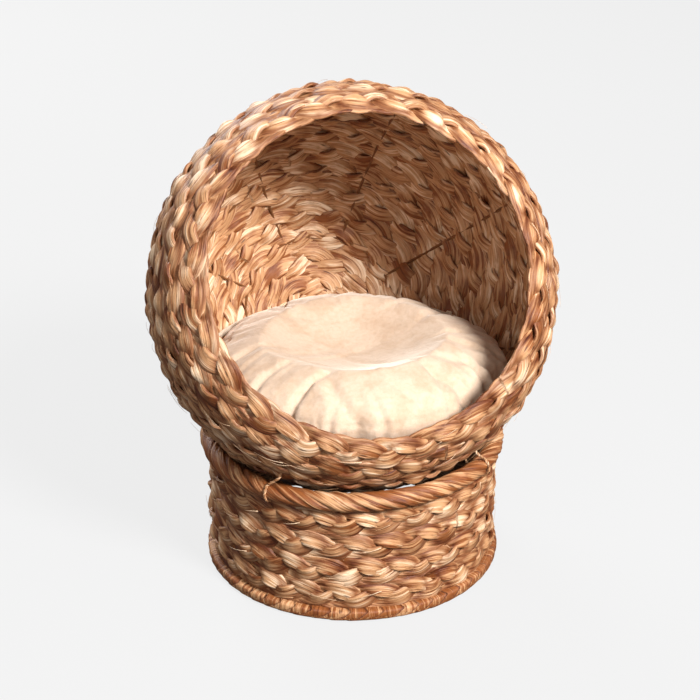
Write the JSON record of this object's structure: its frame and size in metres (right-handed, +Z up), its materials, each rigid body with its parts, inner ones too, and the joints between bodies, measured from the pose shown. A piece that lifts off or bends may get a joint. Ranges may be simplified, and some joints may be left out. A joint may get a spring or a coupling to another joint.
{
  "type": "wicker pet bed basket",
  "caption": "Raised wicker pet bed: a tilted round pod of plaited leaf open to the front, on a drum base, with a loose round plush cushion.",
  "frame": {"origin": "bottom centre of the bounding box, on the floor under the drum", "axes": "+Z up; the mouth opens towards -Y and upwards; the plane X = 0 parts the bed into matching left and right halves"},
  "size_m": [0.428, 0.3812, 0.5127],
  "materials": {
    "pod_plait": "plaited dried water hyacinth leaf, pale straw to brown, lightly lacquered",
    "base_plait": "plaited dried water hyacinth leaf, a little darker, lightly lacquered",
    "rope": "twisted dried leaf rope with papery highlights",
    "foot_wrap": "flat leaf strip wound round a cane bundle",
    "tie": "thin twisted leaf cord",
    "wire": "dark brown lacquered iron wire",
    "plush": "short cream plush",
    "filling": "loose polyester fibre",
    "zip_tape": "woven cream tape with coil teeth",
    "zip_slider": "cream enamel"
  },
  "bodies": {
    "basket": {"base_foot_rim": "foot_wrap", "base_plait_row_1": "base_plait", "base_plait_row_2": "base_plait", "base_plait_row_3": "base_plait", "base_plait_row_4": "base_plait", "base_rope_border": "rope", "base_wire_frame": "wire", "lashing_back": "tie", "lashing_front_left": "tie", "lashing_front_right": "tie", "pod_back_disc": "pod_plait", "pod_plait_row_02": "pod_plait", "pod_plait_row_03": "pod_plait", "pod_plait_row_04": "pod_plait", "pod_plait_row_05": "pod_plait", "pod_plait_row_06": "pod_plait", "pod_plait_row_07": "pod_plait", "pod_plait_row_08": "pod_plait", "pod_plait_row_09": "pod_plait", "pod_plait_row_10": "pod_plait", "pod_plait_row_11": "pod_plait", "pod_plait_row_12": "pod_plait", "pod_plait_row_13": "pod_plait", "pod_plait_row_14": "pod_plait", "pod_rim_plait": "pod_plait", "pod_wire_frame": "wire"},
    "cushion": {"cushion_bottom_panel": "plush", "cushion_filling": "filling", "cushion_top_panel": "plush", "cushion_zip_tape": "zip_tape"},
    "zip_slider": {"zip_slider": "zip_slider"}
  },
  "joints": [
    {"name": "cushion_lift", "type": "slide", "parent": "basket", "child": "cushion", "axis": [0, -0.5446, 0.8387], "range_m": [0, 0.36]},
    {"name": "zip_run", "type": "hinge", "parent": "cushion", "child": "zip_slider", "pos_m": [0, -0.0194, 0.222], "axis": [0, 0, 1], "range_deg": [0, 112]}
  ]
}
